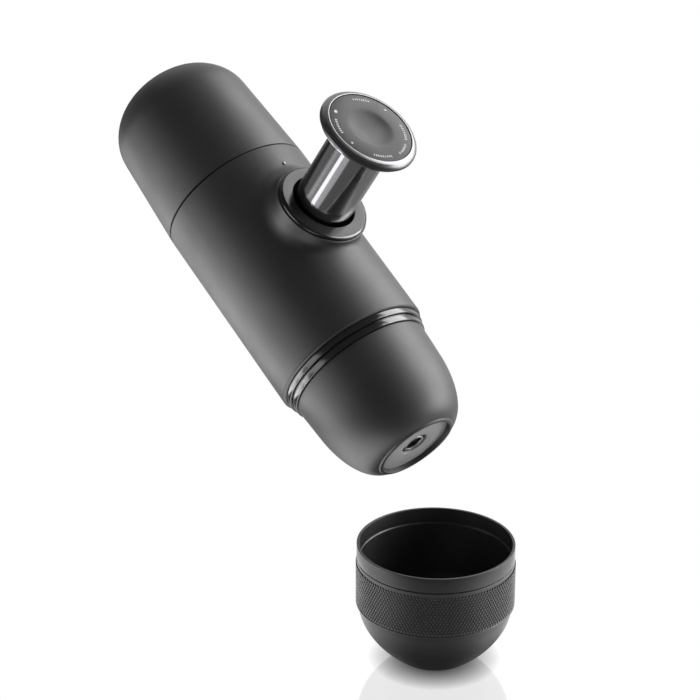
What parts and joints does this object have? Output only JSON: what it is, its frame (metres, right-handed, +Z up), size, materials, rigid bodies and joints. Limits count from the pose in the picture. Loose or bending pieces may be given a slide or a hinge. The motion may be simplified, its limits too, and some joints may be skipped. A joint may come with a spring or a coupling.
{
  "type": "handheld manual espresso maker",
  "caption": "Handheld manual espresso maker tilted over its cup: matt body with a side piston and knob, water tank, domed outlet head, and a round cup with a grip band.",
  "frame": {"origin": "middle of the cup's foot, on the surface that the cup stands on", "axes": "+Z up; +X is the way the machine pours, from its tank towards its spout; +Y is level, to the left of +X"},
  "size_m": [0.1827, 0.0629, 0.2001],
  "materials": {
    "charcoal_body": "soft-touch matt charcoal",
    "grey_ring": "matt grey",
    "black_inner": "matt black",
    "black_gloss": "polished black",
    "chrome_sleeve": "polished",
    "chrome_rim": "satin polished",
    "inset_grey": "matt dark grey",
    "plate_grey": "matt grey",
    "steel": "satin stainless steel",
    "seal_black": "matt",
    "silicone": "matt",
    "cup_gloss": "polished black",
    "cup_band": "matt with fine pips"
  },
  "bodies": {
    "main body": {"main_body": "charcoal_body", "collar_ring": "grey_ring", "piston_guide": "black_inner", "upper_deck": "black_inner", "lower_deck": "black_inner", "pump_housing": "black_inner", "thread_collar": "black_gloss", "chassis_screws": "steel", "screen_screw": "steel", "inlet_valve": "silicone", "outlet_valve": "silicone", "intake_strainer": "black_inner", "shower_screen": "steel", "chamber_gasket": "silicone", "return_spring": "steel"},
    "plunger": {"plunger_rod": "black_inner", "plunger_seal": "seal_black"},
    "button": {"piston_sleeve": "chrome_sleeve", "knob_base": "black_inner", "knob_rim": "chrome_rim", "knob_inset": "inset_grey"},
    "tank seal": {"tank_seal": "seal_black"},
    "tank": {"water_tank": "charcoal_body"},
    "basket": {"filter_basket": "steel", "basket_screen": "steel"},
    "head": {"outlet_head": "charcoal_body", "spout_plate": "plate_grey", "spout_nozzle": "black_inner", "spout_ring": "steel"},
    "cup": {"cup_shell": "cup_gloss", "grip_band": "cup_band"}
  },
  "joints": [
    {"name": "piston_press", "type": "slide", "parent": "main body", "child": "plunger", "axis": [-0.5693, -0.0698, -0.8191], "range_m": [0, 0.033], "stiffness_N_per_m": 130, "springref_m": -0.02, "deforming": ["return_spring"]},
    {"name": "piston_lock", "type": "hinge", "parent": "plunger", "child": "button", "pos_m": [-0.07522, -0.0055, 0.13188], "axis": [0.5693, 0.0698, 0.8191], "range_deg": [0, 50]},
    {"name": "head_travel", "type": "slide", "parent": "main body", "child": "basket", "axis": [0.8211, 0, -0.5707], "range_m": [0, 0.012]},
    {"name": "head_turn", "type": "hinge", "parent": "basket", "child": "head", "pos_m": [-0.03786, -0.0055, 0.10591], "axis": [0.8211, 0, -0.5707], "range_deg": [0, 360]},
    {"name": "tank_travel", "type": "slide", "parent": "main body", "child": "tank seal", "axis": [-0.8211, 0, 0.5707], "range_m": [0, 0.012]},
    {"name": "tank_turn", "type": "hinge", "parent": "tank seal", "child": "tank", "pos_m": [-0.03786, -0.0055, 0.10591], "axis": [-0.8211, 0, 0.5707], "range_deg": [0, 360]},
    {"name": "cup_slide", "type": "slide", "parent": "main body", "child": "cup", "axis": [1, 0, 0], "range_m": [0, 0.12]}
  ],
  "couplings": [
    {"joint": "head_turn", "follows": "head_travel", "rad_per_m": 523.59},
    {"joint": "tank_turn", "follows": "tank_travel", "rad_per_m": 523.59}
  ]
}
